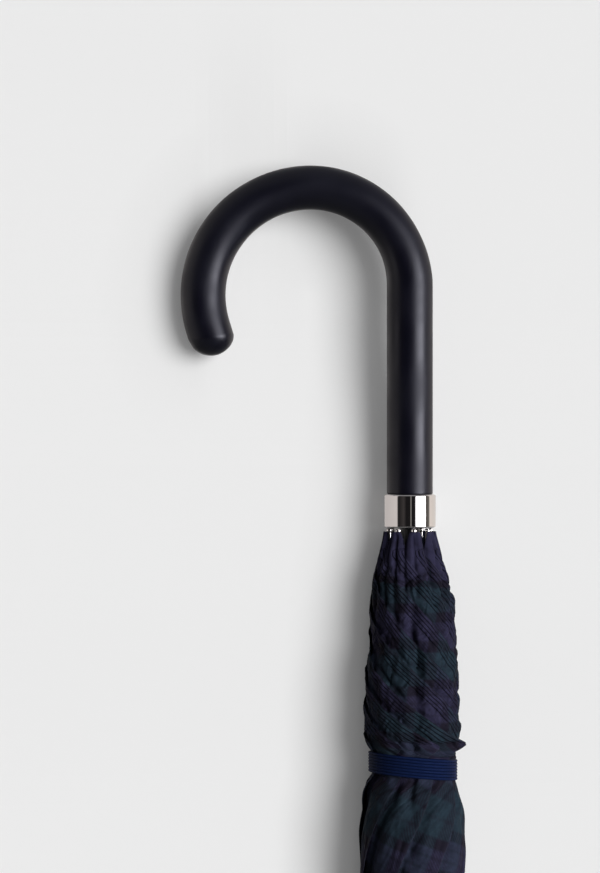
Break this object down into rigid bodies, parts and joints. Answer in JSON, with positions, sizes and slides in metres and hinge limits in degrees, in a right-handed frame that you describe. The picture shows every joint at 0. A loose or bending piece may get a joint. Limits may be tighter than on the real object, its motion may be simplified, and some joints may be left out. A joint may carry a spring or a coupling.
{
  "type": "stick umbrella",
  "caption": "Closed stick umbrella with a crook handle, chrome collar, strapped tartan canopy and a folding frame of ribs, stretchers and a sliding runner.",
  "frame": {"origin": "on the shaft's axis, half way along the straight grip, where a hand holds it", "axes": "+Z along the shaft towards the handle, -Z towards the ferrule, the crook's free end towards -X; -Y is the side seen in the picture"},
  "size_m": [0.145, 0.0554, 0.8722],
  "materials": {
    "handle_black": "satin",
    "chrome": "polished",
    "shaft_black": "satin",
    "steel": "satin",
    "nylon": "matte",
    "cloth": "matte",
    "strap": "satin"
  },
  "bodies": {
    "stick": {"handle": "handle_black", "collar": "chrome", "shaft": "shaft_black", "crown": "nylon", "crown_wire": "steel", "crown_pin": "steel", "apex_washer": "cloth", "apex_cap": "chrome", "ferrule": "chrome", "ferrule_foot": "nylon", "stop_pin": "steel", "catch_pin": "steel"},
    "catch": {"top_catch": "steel"},
    "runner_set": {"runner": "nylon", "runner_wire": "steel", "runner_band": "chrome"},
    "rib_arm_1": {"rib_1": "steel", "rib_joint_1": "steel", "rib_tip_1": "chrome"},
    "stretcher_arm_1": {"stretcher_1": "steel"},
    "cloth_1": {"canopy_panel_1": "cloth"},
    "rib_arm_2": {"rib_2": "steel", "rib_joint_2": "steel", "rib_tip_2": "chrome"},
    "stretcher_arm_2": {"stretcher_2": "steel"},
    "cloth_2": {"canopy_panel_2": "cloth"},
    "rib_arm_3": {"rib_3": "steel", "rib_joint_3": "steel", "rib_tip_3": "chrome", "tie_strap": "strap"},
    "stretcher_arm_3": {"stretcher_3": "steel"},
    "cloth_3": {"canopy_panel_3": "cloth"},
    "rib_arm_4": {"rib_4": "steel", "rib_joint_4": "steel", "rib_tip_4": "chrome"},
    "stretcher_arm_4": {"stretcher_4": "steel"},
    "cloth_4": {"canopy_panel_4": "cloth"},
    "rib_arm_5": {"rib_5": "steel", "rib_joint_5": "steel", "rib_tip_5": "chrome"},
    "stretcher_arm_5": {"stretcher_5": "steel"},
    "cloth_5": {"canopy_panel_5": "cloth"},
    "rib_arm_6": {"rib_6": "steel", "rib_joint_6": "steel", "rib_tip_6": "chrome"},
    "stretcher_arm_6": {"stretcher_6": "steel"},
    "cloth_6": {"canopy_panel_6": "cloth"},
    "rib_arm_7": {"rib_7": "steel", "rib_joint_7": "steel", "rib_tip_7": "chrome"},
    "stretcher_arm_7": {"stretcher_7": "steel"},
    "cloth_7": {"canopy_panel_7": "cloth"},
    "rib_arm_8": {"rib_8": "steel", "rib_joint_8": "steel", "rib_tip_8": "chrome"},
    "stretcher_arm_8": {"stretcher_8": "steel"},
    "cloth_8": {"canopy_panel_8": "cloth"}
  },
  "joints": [
    {"name": "rib_1_fold", "type": "hinge", "parent": "stick", "child": "rib_arm_1", "pos_m": [0.00788, 0.00139, -0.6694], "axis": [-0.1736, 0.9848, 0], "range_deg": [0, 65], "deforming": ["canopy_panel_1", "canopy_panel_2", "canopy_panel_3", "canopy_panel_4", "canopy_panel_5", "canopy_panel_6", "canopy_panel_7", "canopy_panel_8", "tie_strap"]},
    {"name": "rib_2_fold", "type": "hinge", "parent": "stick", "child": "rib_arm_2", "pos_m": [0.00459, 0.00655, -0.6694], "axis": [-0.8192, 0.5736, 0], "range_deg": [0, 65]},
    {"name": "rib_3_fold", "type": "hinge", "parent": "stick", "child": "rib_arm_3", "pos_m": [-0.00139, 0.00788, -0.6694], "axis": [-0.9848, -0.1736, 0], "range_deg": [0, 65]},
    {"name": "rib_4_fold", "type": "hinge", "parent": "stick", "child": "rib_arm_4", "pos_m": [-0.00655, 0.00459, -0.6694], "axis": [-0.5736, -0.8192, 0], "range_deg": [0, 65]},
    {"name": "rib_5_fold", "type": "hinge", "parent": "stick", "child": "rib_arm_5", "pos_m": [-0.00788, -0.00139, -0.6694], "axis": [0.1736, -0.9848, 0], "range_deg": [0, 65]},
    {"name": "rib_6_fold", "type": "hinge", "parent": "stick", "child": "rib_arm_6", "pos_m": [-0.00459, -0.00655, -0.6694], "axis": [0.8192, -0.5736, 0], "range_deg": [0, 65]},
    {"name": "rib_7_fold", "type": "hinge", "parent": "stick", "child": "rib_arm_7", "pos_m": [0.00139, -0.00788, -0.6694], "axis": [0.9848, 0.1736, 0], "range_deg": [0, 65]},
    {"name": "rib_8_fold", "type": "hinge", "parent": "stick", "child": "rib_arm_8", "pos_m": [0.00655, -0.00459, -0.6694], "axis": [0.5736, 0.8192, 0], "range_deg": [0, 65]},
    {"name": "stretcher_1_swing", "type": "hinge", "parent": "rib_arm_1", "child": "stretcher_arm_1", "pos_m": [0.00788, 0.00139, -0.4044], "axis": [0.1736, -0.9848, 0], "range_deg": [0, 130]},
    {"name": "stretcher_2_swing", "type": "hinge", "parent": "rib_arm_2", "child": "stretcher_arm_2", "pos_m": [0.00459, 0.00655, -0.4044], "axis": [0.8192, -0.5736, 0], "range_deg": [0, 130]},
    {"name": "stretcher_3_swing", "type": "hinge", "parent": "rib_arm_3", "child": "stretcher_arm_3", "pos_m": [-0.00139, 0.00788, -0.4044], "axis": [0.9848, 0.1736, 0], "range_deg": [0, 130]},
    {"name": "stretcher_4_swing", "type": "hinge", "parent": "rib_arm_4", "child": "stretcher_arm_4", "pos_m": [-0.00655, 0.00459, -0.4044], "axis": [0.5736, 0.8192, 0], "range_deg": [0, 130]},
    {"name": "stretcher_5_swing", "type": "hinge", "parent": "rib_arm_5", "child": "stretcher_arm_5", "pos_m": [-0.00788, -0.00139, -0.4044], "axis": [-0.1736, 0.9848, 0], "range_deg": [0, 130]},
    {"name": "stretcher_6_swing", "type": "hinge", "parent": "rib_arm_6", "child": "stretcher_arm_6", "pos_m": [-0.00459, -0.00655, -0.4044], "axis": [-0.8192, 0.5736, 0], "range_deg": [0, 130]},
    {"name": "stretcher_7_swing", "type": "hinge", "parent": "rib_arm_7", "child": "stretcher_arm_7", "pos_m": [0.00139, -0.00788, -0.4044], "axis": [-0.9848, -0.1736, 0], "range_deg": [0, 130]},
    {"name": "stretcher_8_swing", "type": "hinge", "parent": "rib_arm_8", "child": "stretcher_arm_8", "pos_m": [0.00655, -0.00459, -0.4044], "axis": [-0.5736, -0.8192, 0], "range_deg": [0, 130]},
    {"name": "runner_travel", "type": "hinge", "parent": "stretcher_arm_1", "child": "runner_set", "pos_m": [0.00788, 0.00139, -0.1394], "axis": [-0.1736, 0.9848, 0], "range_deg": [0, 65]},
    {"name": "cloth_1_spread", "type": "hinge", "parent": "rib_arm_1", "child": "cloth_1", "pos_m": [0.0119, 0.00431, -0.6745], "axis": [-0.9401, -0.3409, 0], "range_deg": [0, 40.59]},
    {"name": "cloth_2_spread", "type": "hinge", "parent": "rib_arm_2", "child": "cloth_2", "pos_m": [0.00536, 0.01146, -0.6745], "axis": [-0.4237, -0.9058, 0], "range_deg": [0, 40.59]},
    {"name": "cloth_3_spread", "type": "hinge", "parent": "rib_arm_3", "child": "cloth_3", "pos_m": [-0.00431, 0.0119, -0.6745], "axis": [0.3409, -0.9401, 0], "range_deg": [0, 40.59]},
    {"name": "cloth_4_spread", "type": "hinge", "parent": "rib_arm_4", "child": "cloth_4", "pos_m": [-0.01146, 0.00536, -0.6745], "axis": [0.9058, -0.4237, 0], "range_deg": [0, 40.59]},
    {"name": "cloth_5_spread", "type": "hinge", "parent": "rib_arm_5", "child": "cloth_5", "pos_m": [-0.0119, -0.00431, -0.6745], "axis": [0.9401, 0.3409, 0], "range_deg": [0, 40.59]},
    {"name": "cloth_6_spread", "type": "hinge", "parent": "rib_arm_6", "child": "cloth_6", "pos_m": [-0.00536, -0.01146, -0.6745], "axis": [0.4237, 0.9058, 0], "range_deg": [0, 40.59]},
    {"name": "cloth_7_spread", "type": "hinge", "parent": "rib_arm_7", "child": "cloth_7", "pos_m": [0.00431, -0.0119, -0.6745], "axis": [-0.3409, 0.9401, 0], "range_deg": [0, 40.59]},
    {"name": "cloth_8_spread", "type": "hinge", "parent": "rib_arm_8", "child": "cloth_8", "pos_m": [0.01146, -0.00536, -0.6745], "axis": [-0.9058, 0.4237, 0], "range_deg": [0, 40.59]},
    {"name": "catch_press", "type": "hinge", "parent": "stick", "child": "catch", "pos_m": [0.00186, 0.00118, -0.44701], "axis": [0.5373, -0.8434, 0], "range_deg": [0, 3], "stiffness_Nm_per_rad": 3}
  ],
  "couplings": [
    {"joint": "rib_2_fold", "follows": "rib_1_fold", "ratio": 1},
    {"joint": "rib_3_fold", "follows": "rib_1_fold", "ratio": 1},
    {"joint": "rib_4_fold", "follows": "rib_1_fold", "ratio": 1},
    {"joint": "rib_5_fold", "follows": "rib_1_fold", "ratio": 1},
    {"joint": "rib_6_fold", "follows": "rib_1_fold", "ratio": 1},
    {"joint": "rib_7_fold", "follows": "rib_1_fold", "ratio": 1},
    {"joint": "rib_8_fold", "follows": "rib_1_fold", "ratio": 1},
    {"joint": "stretcher_1_swing", "follows": "rib_1_fold", "ratio": 2},
    {"joint": "stretcher_2_swing", "follows": "rib_1_fold", "ratio": 2},
    {"joint": "stretcher_3_swing", "follows": "rib_1_fold", "ratio": 2},
    {"joint": "stretcher_4_swing", "follows": "rib_1_fold", "ratio": 2},
    {"joint": "stretcher_5_swing", "follows": "rib_1_fold", "ratio": 2},
    {"joint": "stretcher_6_swing", "follows": "rib_1_fold", "ratio": 2},
    {"joint": "stretcher_7_swing", "follows": "rib_1_fold", "ratio": 2},
    {"joint": "stretcher_8_swing", "follows": "rib_1_fold", "ratio": 2},
    {"joint": "runner_travel", "follows": "rib_1_fold", "ratio": 1},
    {"joint": "cloth_1_spread", "follows": "rib_1_fold", "ratio": 0.62441},
    {"joint": "cloth_2_spread", "follows": "rib_1_fold", "ratio": 0.62441},
    {"joint": "cloth_3_spread", "follows": "rib_1_fold", "ratio": 0.62441},
    {"joint": "cloth_4_spread", "follows": "rib_1_fold", "ratio": 0.62441},
    {"joint": "cloth_5_spread", "follows": "rib_1_fold", "ratio": 0.62441},
    {"joint": "cloth_6_spread", "follows": "rib_1_fold", "ratio": 0.62441},
    {"joint": "cloth_7_spread", "follows": "rib_1_fold", "ratio": 0.62441},
    {"joint": "cloth_8_spread", "follows": "rib_1_fold", "ratio": 0.62441}
  ]
}
